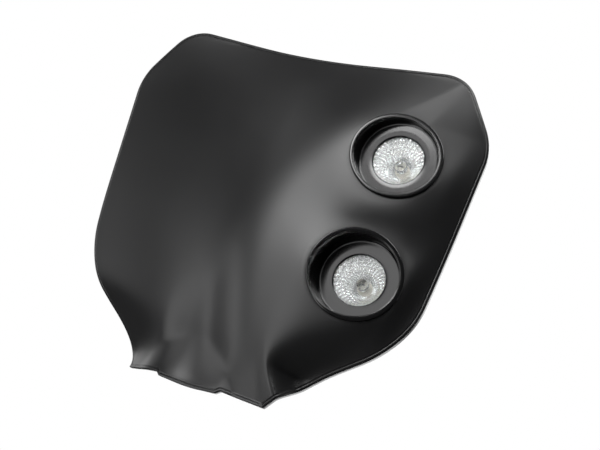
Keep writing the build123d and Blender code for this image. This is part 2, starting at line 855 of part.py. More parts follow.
# Rubber bushes and steel sleeves
bush_length = bracket_thickness + 2 * bush_flange_thickness
for place, z in (("upper", bolt_spacing / 2), ("lower", -bolt_spacing / 2)):
    rear_end = Plane(origin=(0, 0, z), x_dir=(1, 0, 0), z_dir=(0, 1, 0))
    rear_flange = rear_end.offset(-sleeve_overhang)
    with BuildPart() as bush:
        with BuildSketch(rear_flange):
            Circle(bush_flange_radius)
        extrude(amount=-bush_flange_thickness)
        with BuildSketch(rear_flange):
            Circle(bush_hole_radius - bush_clearance)
        extrude(amount=-bush_length)
        with BuildSketch(rear_flange.offset(-bush_length)):
            Circle(bush_flange_radius)
        extrude(amount=bush_flange_thickness)
        with BuildSketch(rear_flange):
            Circle(sleeve_radius + bush_clearance)
        extrude(amount=-bush_length, mode=Mode.SUBTRACT)
    bush.part.label = f"{place}_bush"
    export_step(bush.part, f"parts/{place}_bush.step")
    with BuildPart() as sleeve:
        with BuildSketch(rear_end):
            Circle(sleeve_radius)
            Circle(bolt_hole_radius, mode=Mode.SUBTRACT)
        extrude(amount=-bush_length - 2 * sleeve_overhang)
    sleeve.part.label = f"{place}_sleeve"
    export_step(sleeve.part, f"parts/{place}_sleeve.step")
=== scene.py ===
"""Enduro headlight: smooth moulded mask, gloss bezels, faceted reflector lamps, and the parts behind.

Lengths are written in millimetres and turned into metres when a mesh is made. Heights along the
mask are counted from the bottom of its tab, depths forwards from the plane of its edge.
"""
import bpy
import bmesh
import json
import math
import numpy as np
from mathutils import Matrix, Vector

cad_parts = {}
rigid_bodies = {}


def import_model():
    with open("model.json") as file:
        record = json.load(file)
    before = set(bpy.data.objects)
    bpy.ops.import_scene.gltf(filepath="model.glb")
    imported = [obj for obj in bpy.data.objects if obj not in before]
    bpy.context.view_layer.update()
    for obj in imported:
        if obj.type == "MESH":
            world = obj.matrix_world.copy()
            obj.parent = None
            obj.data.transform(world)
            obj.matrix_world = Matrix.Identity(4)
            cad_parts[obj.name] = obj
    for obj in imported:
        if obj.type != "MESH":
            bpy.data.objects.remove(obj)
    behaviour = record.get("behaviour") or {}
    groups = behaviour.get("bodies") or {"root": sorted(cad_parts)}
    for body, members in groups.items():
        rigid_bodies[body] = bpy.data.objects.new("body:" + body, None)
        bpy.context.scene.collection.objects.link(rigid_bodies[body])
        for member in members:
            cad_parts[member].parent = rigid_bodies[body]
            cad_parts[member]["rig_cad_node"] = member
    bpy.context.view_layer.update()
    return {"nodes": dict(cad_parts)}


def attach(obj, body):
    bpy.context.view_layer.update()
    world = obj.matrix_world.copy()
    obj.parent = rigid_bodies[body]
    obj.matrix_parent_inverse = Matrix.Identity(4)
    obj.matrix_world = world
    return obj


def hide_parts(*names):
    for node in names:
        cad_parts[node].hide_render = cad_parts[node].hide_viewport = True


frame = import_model()

MM = 0.001
BODY = "root"

# Least value where a form would divide by nothing or run to a sharp point
TINY = 0.01

# Where the mask stands from the mount
MOUNT_STANDOFF = 60.0
MOUNT_HEIGHT = 160.0
EDGE_Y = -MOUNT_STANDOFF

# Outline of the right half: half width, height and rounding of each corner
TOP_MIDDLE = (314.8, 1400.0)
CORNERS = (
    (136.0, 326.2, 34.0),
    (172.4, 267.7, 51.0),
    (155.3, 82.6, 86.0),
    (93.7, 35.4, 160.0),
    (67.5, 2.5, 2.0),
    (29.3, 4.8, 0.8),
    (25.7, 2.0, 0.8),
)
TAB_BOTTOM = (0.0, 300.0)
WIDEST, SHOULDER, TIP = CORNERS[1], CORNERS[2], CORNERS[4]
TOP_CORNER_HEIGHT = CORNERS[0][1]
CORNER_SHARE = 0.48
ARC_STEP = 0.2
OUTLINE_SPACING = 2.2

# Half width that the form of the front is drawn with
NARROWING_SHARE = 1.05
NARROWING_HEIGHT = 47.0
NARROWING_LENGTH = 12.0
TOP_NARROWING = 45.0
TOP_NARROWING_START = 9.0
TOP_NARROWING_LENGTH = 10.0
LEAST_HALF_WIDTH = 50.0

# Wall, half the step that its slopes are taken over, and rolled edge
WALL = 3.0
THICKEST_WALL = 6.5
HALF_STEP = 0.5
ROLL_DEPTH = 7.0
ROLL_WIDTH = 3.4
ROLL_FADE = 0.7
PAST_THE_ROLL = 99.0
EDGE_ROUNDING = 1.6
BACK_ROUNDING = 0.5
GROOVE_INSET = 2.6
GROOVE_HALF_WIDTH = 0.6
GROOVE_DEPTH = 0.4

# Rings of the mask's skin: where they meet, insets near the edge, and rings inside those
SKIN_CENTRE = (0.0, 185.0)
LEAST_SLANT = 0.45
FRONT_INSETS = (0.0, 0.12, 0.35, 0.7, 1.1, 1.6, 2.0, 2.3, 2.6, 2.9, 3.2, 3.8, 5.5, 8.0, 11.0, 15.0)
FRONT_INNER_RINGS = 62
BACK_INSETS = (0.0, 0.4, 1.0, 2.2, 3.0, 3.4, 3.5, 3.9, 4.6, 6.0, 9.0, 13.0)
BACK_INNER_RINGS = 40

# Form of the front
CROWN_DEPTHS = ((20.0, 39.8), (90.0, 37.1), (180.0, 32.5), (320.0, 4.2))
BULGE_DEPTHS = ((20.0, 47.9), (90.0, 47.7), (180.0, 36.2), (320.0, 8.2))
BULGE_CREST = ((20.0, 68.7), (120.0, 31.4), (250.0, 72.5))
BULGE_RIGHT_POWER = ((30.0, 1.37), (125.0, 3.4), (235.0, 2.41))
BULGE_LEFT_REACH = (83.0, 87.2)
BULGE_REACH_HEIGHT = 50.0
BULGE_REACH_SPAN = 180.0
BULGE_LEFT_POWER = 2.5
BULGE_POWER_LIMITS = (1.3, 6.0)
BULGE_LEAST_REACH = 30.0
BULGE_LEAST_LEFT_REACH = 20.0
BULGE_MOST_FALL = 3.0
LEAST_CROWN = 1.0
CROWN_POWER = 1.58
CROWN_ROUNDING = 8.0
FOOT_HEIGHT = 95.0
FOOT_ROUNDING = 14.0
FOOT_BLEND = 16.0
FOOT_BLEND_LEFT = -45.0
FOOT_BLEND_RIGHT = 30.0
FOOT_BLEND_SINK = 0.4
FOOT_FILL = 0.72
FOOT_FILL_END = 25.0
FOOT_FADE = 30.0
CHEEK_OFFSET = 20.8
CHEEK_DROP = 14.1
CHEEK_LOW = 60.0
CHEEK_SPAN = 150.0
CHEEK_STEEPNESS = 4.0
VALLEY_BLEND = 11.2
VALLEY_SINK = VALLEY_BLEND / 10
SIDE_DIP = 6.0
SIDE_DIP_HEIGHT = 80.0
TOP_RISE = 4.0
TIP_RISE = 14.0
TIP_RISE_LENGTH = 8.0
EDGE_WAVE_LENGTH = 40.0
LIP_FLARE = 10.0
LIP_HEIGHT = 42.0
LIP_HALF_WIDTH = 50.0
LIP_OFFSET = -8.0
LIP_SOFTNESS = 4.0
BACK_LIMIT = 14.0
BACK_SOFTNESS = 5.0
PAD_RADIUS = 40.2
PAD_HOLD = 0.05
EDGE_KEEP = 22.0

# Lamps: height, pad depth, tilt to the right and upwards in degrees, reach of the pad's blend
LAMP_X = 101.0
LAMPS = {
    "upper": (235.0, 26.0, 10.5, 7.5, 45.0),
    "lower": (126.0, 34.8, 14.0, 6.0, 35.0),
}
RING_DEPTH = 17.0
RING_THICKNESS = 3.0
SEAL_THICKNESS = 1.0
RING_Y = EDGE_Y - RING_DEPTH
LAMP_Y = EDGE_Y - (RING_DEPTH - RING_THICKNESS - SEAL_THICKNESS)
LIP_RADIUS = 39.4
LIP_PROUD = 2.6
LIP_SEAT = 0.4
LIP_OUTER = 0.8
LIP_INNER = 0.6
LIP_CHAMFER = 0.25
SEAT_CLEARANCE = 0.3
SEAT_FRONT = 20.0
REBATE_WIDTH = 0.5
REBATE_DEPTH = 0.8
REBATE_ROUNDING = 0.15
REBATE_FLOOR = LIP_PROUD - LIP_INNER - REBATE_DEPTH
BARREL_RADIUS = 36.8
HOLE_RADIUS = 37.1
HOLE_BACK = 20.0
HOLE_FRONT = 80.0
POCKET_RADIUS = 34.0
POCKET_FOOT = 1.4
POCKET_DRAFT = math.tan(math.radians(3.0))
MOUTH_ROUNDS = 12
WINDOW_RADIUS = 21.8
POST_CIRCLE = 33.2
POST_RADIUS = 3.2
POST_COUNT = 3
COLLAR_WALL = 2.6
COLLAR_END = 6.0

# Rebate in the lip, as ways out from the pocket's mouth and heights above the pad
REBATE_PROFILE = (
    (REBATE_WIDTH, REBATE_FLOOR + REBATE_ROUNDING),
    (REBATE_WIDTH - REBATE_ROUNDING, REBATE_FLOOR),
    (REBATE_ROUNDING, REBATE_FLOOR),
    (0.03, REBATE_FLOOR - 0.05),
)
# Flat ring round the window, as radii and ways back from its face
RING_PROFILE = (
    (POCKET_RADIUS - POCKET_FOOT - 1.0, 0.0),
    (27.0, 0.0),
    (WINDOW_RADIUS + 0.8, 0.0),
    (WINDOW_RADIUS + 0.5, 0.08),
    (WINDOW_RADIUS + 0.15, 0.4),
    (WINDOW_RADIUS, 0.75),
    (WINDOW_RADIUS, RING_THICKNESS),
)

# Reflector lamp, as ways back from its front and radii
LAMP_RADIUS = 25.0
RIM_LENGTH = 2.4
RIM_INNER = 24.1
SEAT_RADIUS = 23.55
GLASS_RADIUS = 23.4
GLASS_THICKNESS = 1.5
COAT_GAP = 0.2
AXIS_GAP = 0.02
BOWL_MOUTH = 22.8
BOWL_DEPTH = 24.0
BOWL_FLOOR = 22.7
BOWL_STEPS = 8
NECK_RADIUS = 9.5
NECK_BORE = 6.5
NECK_END = 38.0
FACET_FLUTES = 36
FACET_ROWS = 5
FACET_STEPS = 4
FACET_RELIEF = 0.05
FACET_LEAST_DOME = 0.3
CAPSULE_RADIUS = 4.9
CAPSULE_FRONT = 6.0
CAPSULE_STEM = ((4.9, 18.2), (4.4, 19.4), (3.4, 20.7), (3.4, 26.7))
COIL_TURNS = 9
COIL_HALF_LENGTH = 1.6
COIL_RADIUS = 0.55
COIL_BACK = 10.5
LEAD_OFFSET = 1.5
LEAD_START = 12.0
LEAD_END = 20.0
WIRE_RADIUS = 0.12

# Bosses for the bracket's feet: height and depth of their ends
FEET = ((284.0, -6.0), (60.0, 14.0))
BOSS_OFFSET = 14.0
BOSS_RADIUS = 5.5
BOSS_BORE = 2.05
BOSS_CHAMFER = 0.4

# Sides of the round meshes
HOLE_SIDES = 144
COLLAR_SIDES = 96
BOSS_SIDES = 48
BEZEL_SIDES = 192
POST_SIDES = 32

# Shading, rounding and welding; angles in degrees
SHARP_ANGLE = 35
MASK_SHARP_ANGLE = 38
BEZEL_SHARP_ANGLE = 50
FACET_SHARP_ANGLE = 12
NODE_SHARP_ANGLE = 30
FLAT_ANGLE = 0.6
BEVEL_ANGLE = 40
SOFT_SHARE = 0.45
SOFT_STEPS = 3
LEAST_ROUNDING = 1e-4
WELD_REACH = 0.01
MERGE_REACH = 0.01

# CAD nodes that are refined as they are: node, look, slot and bevel, for each lamp and for both
LAMP_NODES = (
    ("housing", "housing", "housing_plastic", 0.4),
    ("grommet", "rubber", "seal_rubber", 0.3),
    ("seal", "rubber", "seal_rubber", 0.0),
    ("lamp_base", "ceramic", "ceramic", 0.2),
    ("contact_pins", "pin", "pin_metal", 0.1),
    ("socket", "ceramic", "ceramic", 0.3),
    ("spring_ring", "spring", "spring_steel", 0.1),
    ("bush", "rubber", "bush_rubber", 0.4),
    ("sleeve", "zinc", "zinc_steel", 0.2),
)
SHARED_NODES = (
    ("rear_bracket", "bracket", "bracket_steel", 0.4),
    ("bracket_screws", "zinc", "zinc_steel", 0.2),
    ("bracket_washers", "zinc", "zinc_steel", 0.15),
    ("housing_screws", "zinc", "zinc_steel", 0.2),
)

# Looks: name, colour, values of the grain group, and the bump's strength and height in metres
GRAIN_INPUTS = ("Roughness", "Grain Scale", "Grain", "Wave", "Wear")
LOOKS = {
    "mask": ("mask_plastic", (0.0035, 0.0035, 0.0038), (0.36, 2400.0, 0.12, 0.25, 0.05), (0.25, 0.0003)),
    "bezel": ("bezel_plastic", (0.003, 0.003, 0.0032), (0.16, 1800.0, 0.04, 0.3, 0.04), (0.2, 0.0002)),
    "housing": ("housing_plastic", (0.012, 0.012, 0.013), (0.55, 1600.0, 0.8, 0.1, 0.12), (0.5, 0.0004)),
    "rubber": ("rubber", (0.012, 0.012, 0.012), (0.72, 1100.0, 0.9, 0.3, 0.15), (0.5, 0.0005)),
    "bracket": ("bracket_paint", (0.01, 0.01, 0.011), (0.42, 900.0, 0.9, 0.4, 0.12), (0.4, 0.0005)),
    "zinc": ("zinc_steel", (0.58, 0.59, 0.6), (0.32, 700.0, 0.5, 0.2, 0.2), (0.3, 0.0003)),
    "spring": ("spring_steel", (0.5, 0.5, 0.5), (0.35, 900.0, 0.5, 0.2, 0.2), (0.3, 0.0003)),
    "pin": ("pin_metal", (0.6, 0.58, 0.55), (0.3, 900.0, 0.4, 0.1, 0.2), (0.3, 0.0002)),
    "ceramic": ("ceramic", (0.78, 0.74, 0.66), (0.6, 1500.0, 0.7, 0.3, 0.15), (0.4, 0.0003)),
    "mirror": ("reflector_coating", (0.93, 0.93, 0.93), (0.07, 800.0, 0.25, 0.3, 0.03), (0.15, 0.0002)),
    "filament": ("filament_wire", (0.35, 0.34, 0.33), (0.35, 3000.0, 0.2, 0.1, 0.1), (0.2, 0.0001)),
}
METALLIC = {"zinc": 1.0, "spring": 1.0, "pin": 1.0, "mirror": 0.78, "filament": 1.0}
SPECULAR = {"rubber": 0.3, "bracket": 0.45}
GLASS_TINT = (0.97, 0.985, 0.985, 1.0)

# Studio, in metres
WHITE = (1, 1, 1, 1)
STUDIO_GREY = (0.5, 0.5, 0.5, 1)
STUDIO_LIGHT = 0.06
BEHIND_RANGE = (0.1, 0.7)
FLOOR_REACH = 60.0
FLOOR_LEVEL = -0.62
FLOOR_FADE = (1.2, 3.0)
FLOOR_UNSEEN = (0.12, 0.12, 0.12, 1)
FLOOR_SEEN = (0.9, 0.9, 0.9, 1)

# Soft boxes: place, width and height, and watts
LIGHT_TARGET = (0.0, -0.08, 0.0)
SOFT_BOXES = {
    "key_softbox": ((-0.24, -1.48, 0.94), (0.8, 0.5), 16.0),
    "front_fill": ((-0.28, -2.0, 0.2), (0.9, 1.1), 8.6),
    "left_softbox": ((-1.16, -1.33, 0.0), (0.5, 0.9), 5.5),
    "side_softbox": ((-1.5, 0.05, 0.15), (1.5, 0.8), 3.4),
    "top_softbox": ((0.34, -0.45, 1.42), (0.9, 0.5), 4.5),
    "corner_softbox": ((0.72, -0.78, 1.25), (0.6, 0.5), 11.0),
    "low_softbox": ((-0.3, -0.48, -0.55), (0.4, 0.4), 2.8),
    "back_light": ((0.7, 1.5, 0.7), (1.6, 1.2), 19.0),
    "low_back_light": ((0.2, 1.15, -0.5), (1.6, 0.5), 10.0),
}

# Camera at the photograph's place, with the lens and its sensor in millimetres
CAMERA_PLACE = (0.2930, -0.7958, -0.1950)
CAMERA_VIEW = (-0.325, 0.913, 0.246)
CAMERA_RIGHT = (0.917, 0.240, 0.319)
LENS = 55.8
SENSOR_WIDTH = 36.0


def level(height):
    """Height from the mount, of a height from the bottom of the tab."""
    return height - MOUNT_HEIGHT


def curve_through(height, stations):
    """Value at a height of the polynomial through (height, value) stations."""
    total = 0.0
    for here, value in stations:
        term = value
        for other, _ in stations:
            if other != here:
                term = term * (height - other) / (here - other)
        total = total + term
    return total


def ease(t):
    """Smooth step from 0 to 1."""
    t = np.clip(t, 0.0, 1.0)
    return t * t * (3 - 2 * t)


def half_width(height):
    """Half width that the form of the front is drawn with."""
    taper = (WIDEST[0] - SHOULDER[0]) / (WIDEST[1] - SHOULDER[1])
    side = SHOULDER[0] + taper * (height - SHOULDER[1])
    foot = SHOULDER[0] - taper * SHOULDER[1] - TIP[0]
    lower = foot * NARROWING_SHARE / (1 + np.exp((height - NARROWING_HEIGHT) / NARROWING_LENGTH))
    below_top = (TOP_CORNER_HEIGHT - TOP_NARROWING_START - height) / TOP_NARROWING_LENGTH
    upper = TOP_NARROWING / (1 + np.exp(below_top))
    return np.maximum(side - lower - upper, LEAST_HALF_WIDTH)


def pad_values(name):
    """Height and depth of a lamp pad and its slopes to the right and upwards."""
    height, depth, right_tilt, up_tilt, _ = LAMPS[name]
    return height, depth, math.tan(math.radians(right_tilt)), math.tan(math.radians(up_tilt))


def edge_depth(height):
    """Depth at which the front runs out at the sides of the mask."""
    edge = TIP_RISE * np.exp(-np.maximum(height - TIP[1], 0.0) / TIP_RISE_LENGTH)
    edge = edge - SIDE_DIP * np.exp(-(((height - SIDE_DIP_HEIGHT) / EDGE_WAVE_LENGTH) ** 2))
    return edge + TOP_RISE * np.exp(-(((height - TOP_CORNER_HEIGHT) / EDGE_WAVE_LENGTH) ** 2))


def shield_depth(x, height, width, foot):
    """Crowned form of the whole mask; low down its ridge lies further left and its right side drops."""
    low = 1 - ease((height - CHEEK_LOW) / CHEEK_SPAN)
    edge = edge_depth(height)
    apex = -CHEEK_OFFSET * low
    rounding = CROWN_ROUNDING + FOOT_ROUNDING * foot
    left = np.hypot(np.maximum(apex - x, 0.0), rounding) / (width + apex)
    flattened = (rounding / (width + apex)) ** CROWN_POWER
    flattened = flattened - (CROWN_ROUNDING / (width + apex)) ** CROWN_POWER
    right = np.maximum(x - apex, 0.0) / width
    crown = np.maximum(curve_through(height, CROWN_DEPTHS) - edge, LEAST_CROWN)
    shield = edge + crown * (1 - left**CROWN_POWER + flattened)
    drop = 1 - FOOT_FILL * foot * (1 - ease((x - FOOT_FILL_END) / FOOT_FADE))
    shield = shield - CHEEK_DROP * low * drop * (1 - np.exp(-((CHEEK_STEEPNESS * right) ** 2)))
    return shield - crown * right**2 * (1 - low)


def bulge_depth(x, height, width):
    """Raised form on the right that carries the lamps."""
    edge = edge_depth(height)
    crest = curve_through(height, BULGE_CREST)
    left_low, left_high = BULGE_LEFT_REACH
    spread = (height - BULGE_REACH_HEIGHT) / BULGE_REACH_SPAN * (left_high - left_low)
    power = np.clip(curve_through(height, BULGE_RIGHT_POWER), *BULGE_POWER_LIMITS)
    outward = np.maximum(x - crest, 0.0) / np.maximum(width - crest, BULGE_LEAST_REACH)
    outward = np.hypot(outward, TINY)
    inward = np.maximum(crest - x, 0.0) / np.maximum(left_low + spread, BULGE_LEAST_LEFT_REACH)
    fall = np.minimum(outward**power, BULGE_MOST_FALL) + inward**BULGE_LEFT_POWER
    return edge + np.maximum(curve_through(height, BULGE_DEPTHS) - edge, LEAST_CROWN) * (1 - fall)


def free_depth(x, height):
    """How far the front stands forwards of the plane of its edge, without the lamp pads."""
    width = half_width(height)
    foot = 1 - ease(height / FOOT_HEIGHT)
    shield = shield_depth(x, height, width, foot)
    bulge = bulge_depth(x, height, width)
    middle = ease((x - FOOT_BLEND_LEFT) / FOOT_FADE) * (1 - ease((x - FOOT_BLEND_RIGHT) / FOOT_FADE))
    blend = VALLEY_BLEND + FOOT_BLEND * foot * middle
    depth = (shield + bulge + np.hypot(shield - bulge, blend)) / 2 - VALLEY_SINK
    depth = depth - FOOT_BLEND_SINK * (blend - VALLEY_BLEND)
    under_arch = LIP_HEIGHT * (1 - ((x - LIP_OFFSET) / LIP_HALF_WIDTH) ** 2) - height
    soft = (under_arch + np.hypot(under_arch, LIP_SOFTNESS)) / 2
    depth = depth + LIP_FLARE * soft / LIP_HEIGHT
    return BACK_SOFTNESS * np.log1p(np.exp((depth + BACK_LIMIT) / BACK_SOFTNESS)) - BACK_LIMIT


def pad_depth_at(name, x, height):
    """Depth of a lamp pad's plane."""
    pad_height, pad_depth, right_slope, up_slope = pad_values(name)
    return pad_depth - right_slope * (x - LAMP_X) - up_slope * (height - pad_height)


def front_depth(x, height):
    """Free form of the front, led over to the flat lamp pads with the slopes of the free form."""
    x, height = np.asarray(x, float), np.asarray(height, float)
    shift, weights = 0.0, 1.0
    for name, (pad_height, _, _, _, reach) in LAMPS.items():
        across, up = x - LAMP_X, height - pad_height
        distance = np.maximum(np.hypot(across, up), TINY)
        rim_x = LAMP_X + across * PAD_RADIUS / distance
        rim_height = pad_height + up * PAD_RADIUS / distance
        step = pad_depth_at(name, rim_x, rim_height) - free_depth(rim_x, rim_height)
        pull = (reach / np.maximum(distance - PAD_RADIUS, PAD_HOLD)) ** 2
        shift = shift + pull * step
        weights = weights + pull
    keep = ease((half_width(height) - x) / EDGE_KEEP)
    depth = free_depth(x, height) + shift / weights * keep
    for name in LAMPS:
        on_pad = np.hypot(x - LAMP_X, height - LAMPS[name][0]) < PAD_RADIUS
        depth = np.where(on_pad, pad_depth_at(name, x, height), depth)
    return depth


def corner_cuts(corners):
    """Start, corner, end, turn and radius of the arc at each corner."""
    cuts = []
    for index, (x, y, radius) in enumerate(corners):
        here = Vector((x, y))
        before = Vector(corners[index - 1][:2]) - here
        after = Vector(corners[(index + 1) % len(corners)][:2]) - here
        turn = math.pi - before.angle(after)
        longest = CORNER_SHARE * min(before.length, after.length)
        reach = min(radius * math.tan(turn / 2), longest)
        start = here + before.normalized() * reach
        end = here + after.normalized() * reach
        cuts.append((start, here, end, turn, reach / math.tan(turn / 2)))
    return cuts


def rounded_outline(corners, spacing):
    """Closed outline with arcs at its corners; each row is x, height, normal x, normal height."""
    area = sum(corners[index - 1][0] * corner[1] - corner[0] * corners[index - 1][1]
               for index, corner in enumerate(corners))
    cuts = corner_cuts(corners)
    rows = []
    for index, (start, here, end, turn, radius) in enumerate(cuts):
        steps = max(2, math.ceil(radius * turn / spacing), math.ceil(turn / ARC_STEP))
        inward = ((start + end) / 2 - here).normalized()
        centre = here + inward * math.hypot(radius, (start - here).length)
        first = start - centre
        last = end - centre
        side = 1 if first.cross(last) > 0 else -1
        for step in range(steps + 1):
            angle = side * turn * step / steps
            spoke = Vector((
                first.x * math.cos(angle) - first.y * math.sin(angle),
                first.x * math.sin(angle) + first.y * math.cos(angle),
            ))
            normal = spoke.normalized()
            if side * area < 0:
                normal.negate()
            rows.append((*(centre + spoke), *normal))
        following = cuts[(index + 1) % len(cuts)][0]
        run = following - end
        steps = max(1, math.ceil(run.length / spacing))
        for step in range(1, steps):
            rows.append((*(end + run * step / steps), *normal))
    return np.array(rows)


def mask_corners():
    """Corners of the whole outline, the left half mirrored from the right."""
    left = [(-x, height, radius) for x, height, radius in reversed(CORNERS)]
    return [(0.0, *TOP_MIDDLE), *CORNERS, (0.0, *TAB_BOTTOM), *left]


def linked(name, data):
    """New object with its data, linked to the scene."""
    piece = bpy.data.objects.new(name, data)
    bpy.context.scene.collection.objects.link(piece)
    return piece


def shade_smooth(mesh, sharp_angle):
    """Smooth shading, with edges sharper than an angle in degrees kept."""
    mesh.polygons.foreach_set("use_smooth", [True] * len(mesh.polygons))
    mesh.set_sharp_from_angle(angle=math.radians(sharp_angle))


def evaluated_mesh(piece):
    """Plain mesh of a piece with its modifiers."""
    graph = bpy.context.evaluated_depsgraph_get()
    return bpy.data.meshes.new_from_object(piece.evaluated_get(graph))


def mesh_object(name, points, faces):
    """Mesh object from points in millimetres."""
    mesh = bpy.data.meshes.new(name)
    mesh.from_pydata([tuple(p) for p in np.asarray(points, float) * MM], [], faces)
    mesh.validate()
    return linked(name, mesh)


def ring_faces(rings, count, closed=False):
    """Quads between rings of count points each."""
    faces = []
    last = rings if closed else rings - 1
    for ring in range(last):
        a, b = ring * count, (ring + 1) % rings * count
        for j in range(count):
            k = (j + 1) % count
            faces.append((a + j, a + k, b + k, b + j))
    return faces


def outwards(piece):
    """Turns the faces of a closed mesh outwards."""
    work = bmesh.new()
    work.from_mesh(piece.data)
    bmesh.ops.recalc_face_normals(work, faces=work.faces)
    work.to_mesh(piece.data)
    work.free()
    return piece


def skin_rings(outline, insets, inner_rings):
    """Rings that follow the outline near the edge and shrink to the centre inside it."""
    spokes = np.array(SKIN_CENTRE) - outline[:, :2]
    reach = np.linalg.norm(spokes, axis=1)
    spokes = spokes / reach[:, None]
    slant = np.maximum(-(spokes * outline[:, 2:]).sum(axis=1), LEAST_SLANT)
    rings = [outline[:, :2] + spokes * (inset / slant)[:, None] for inset in insets]
    last = insets[-1] / slant
    for step in range(1, inner_rings):
        share = step / inner_rings
        rings.append(outline[:, :2] + spokes * (last + (reach - last) * share)[:, None])
    return rings


def centre_point(back):
    """Row with the one point in the middle of a skin, some way back from the front."""
    x, height = SKIN_CENTRE
    return np.array([[x, EDGE_Y - front_depth(x, height) + back, level(height)]])


def mask_front(outline):
    """Rings of the front, with its rounded edge and the groove along it."""
    rings = []
    for index, ring in enumerate(skin_rings(outline, FRONT_INSETS, FRONT_INNER_RINGS)):
        near_edge = index < len(FRONT_INSETS)
        inset = FRONT_INSETS[index] if near_edge else EDGE_ROUNDING
        rest = max(EDGE_ROUNDING - inset, 0.0)
        drop = EDGE_ROUNDING - math.sqrt(EDGE_ROUNDING**2 - rest**2)
        if near_edge:
            drop += GROOVE_DEPTH * max(1 - abs(inset - GROOVE_INSET) / GROOVE_HALF_WIDTH, 0.0)
        depth = front_depth(ring[:, 0], ring[:, 1])
        rings.append(np.column_stack([ring[:, 0], EDGE_Y - depth + drop, level(ring[:, 1])]))
    return rings


def mask_back(outline):
    """Rings of the back, a wall behind the front and a rolled rim along the edge."""
    rings = []
    for index, ring in enumerate(skin_rings(outline, BACK_INSETS, BACK_INNER_RINGS)):
        x, height = ring[:, 0], ring[:, 1]
        depth = front_depth(x, height)
        right_slope = front_depth(x + HALF_STEP, height) - front_depth(x - HALF_STEP, height)
        up_slope = front_depth(x, height + HALF_STEP) - front_depth(x, height - HALF_STEP)
        thickness = WALL * np.sqrt(1 + right_slope**2 + up_slope**2)
        inset = BACK_INSETS[index] if index < len(BACK_INSETS) else PAST_THE_ROLL
        share = 1 - ease((inset - ROLL_WIDTH) / ROLL_FADE)
        push = np.minimum(thickness, THICKEST_WALL) * (1 - share) + ROLL_DEPTH * share
        corner = BACK_ROUNDING - math.sqrt(BACK_ROUNDING**2 - max(BACK_ROUNDING - inset, 0.0) ** 2)
        rings.append(np.column_stack([x, EDGE_Y - depth + push - corner, level(height)]))
    return rings


def make_mask_skin():
    """Closed skin of the moulded wall, without holes."""
    outline = rounded_outline(mask_corners(), OUTLINE_SPACING)
    count = len(outline)
    front, back = mask_front(outline), mask_back(outline)
    tip = len(front) * count
    last = tip - count
    faces = ring_faces(len(front), count)
    faces += [(last + j, last + (j + 1) % count, tip) for j in range(count)]
    base = tip + 1
    faces += [tuple(base + v for v in reversed(face)) for face in ring_faces(len(back), count)]
    tip = base + len(back) * count
    last = tip - count
    faces += [(last + (j + 1) % count, last + j, tip) for j in range(count)]
    faces += [(j, base + j, base + (j + 1) % count, (j + 1) % count) for j in range(count)]
    points = np.vstack([*front, centre_point(0.0), *back, centre_point(WALL)])
    return outwards(mesh_object("mask_skin", points, faces))


def tilted_frame(name):
    """Centre of a lamp pad and its right, up and forward directions, in millimetres."""
    height, depth, right_slope, up_slope = pad_values(name)
    centre = Vector((LAMP_X, EDGE_Y - depth, level(height)))
    forward = Vector((right_slope, -1.0, up_slope)).normalized()
    right = Vector((1.0, right_slope, 0.0)).normalized()
    up = right.cross(forward)
    if up.z < 0:
        up.negate()
    return centre, right, up, forward


def cylinder_along(name, axes, radius, low, high):
    """Closed cylinder from low to high along the last of its axes: centre, right, up and forward."""
    centre, right, up, forward = axes
    points = []
    for reach in (low, high):
        for j in range(HOLE_SIDES):
            angle = 2 * math.pi * j / HOLE_SIDES
            points.append(centre + right * radius * math.cos(angle)
                          + up * radius * math.sin(angle) + forward * reach)
    ends = [tuple(range(HOLE_SIDES)), tuple(range(2 * HOLE_SIDES - 1, HOLE_SIDES - 1, -1))]
    return outwards(mesh_object(name, [tuple(p) for p in points], ring_faces(2, HOLE_SIDES) + ends))


def cut(piece, tool):
    """Takes a tool's volume out of a piece and removes the tool."""
    change = piece.modifiers.new("cut", "BOOLEAN")
    change.operation = "DIFFERENCE"
    change.solver = "EXACT"
    change.object = tool
    cut_mesh = evaluated_mesh(piece)
    piece.modifiers.clear()
    old = piece.data
    piece.data = cut_mesh
    bpy.data.meshes.remove(old)
    bpy.data.objects.remove(tool)
    return piece


def joined(name, pieces):
    """One mesh object made of several."""
    work = bmesh.new()
    for piece in pieces:
        work.from_mesh(piece.data)
    mesh = bpy.data.meshes.new(name)
    work.to_mesh(mesh)
    work.free()
    for piece in pieces:
        bpy.data.objects.remove(piece)
    return linked(name, mesh)


def around(count):
    """Angles of evenly spaced points on a circle."""
    return 2 * np.pi * np.arange(count) / count


def circle(centre_x, y, height, radius, count):
    """Upright circle that faces along Y."""
    angles = around(count)
    return np.column_stack([
        centre_x + radius * np.cos(angles),
        np.full(count, y),
        level(height) + radius * np.sin(angles),
    ])


def pad_circle(name, radius, rise, count):
    """Circle in the tilted plane of a lamp pad, raised along its normal."""
    centre, right, up, forward = tilted_frame(name)
    angles = around(count)
    ring = np.outer(np.cos(angles) * radius, right) + np.outer(np.sin(angles) * radius, up)
    return ring + np.array(centre + forward * rise)


def skin_from_rings(name, rings, closed=False, sharp_angle=SHARP_ANGLE):
    """Skin over like rings, closed end to end or with a flat cap at each end."""
    count = len(rings[0])
    faces = ring_faces(len(rings), count, closed)
    if not closed:
        base = (len(rings) - 1) * count
        faces.append(tuple(range(count)))
        faces.append(tuple(base + j for j in range(count)))
    piece = mesh_object(name, np.vstack(rings), faces)
    outwards(piece)
    shade_smooth(piece.data, sharp_angle)
    return piece


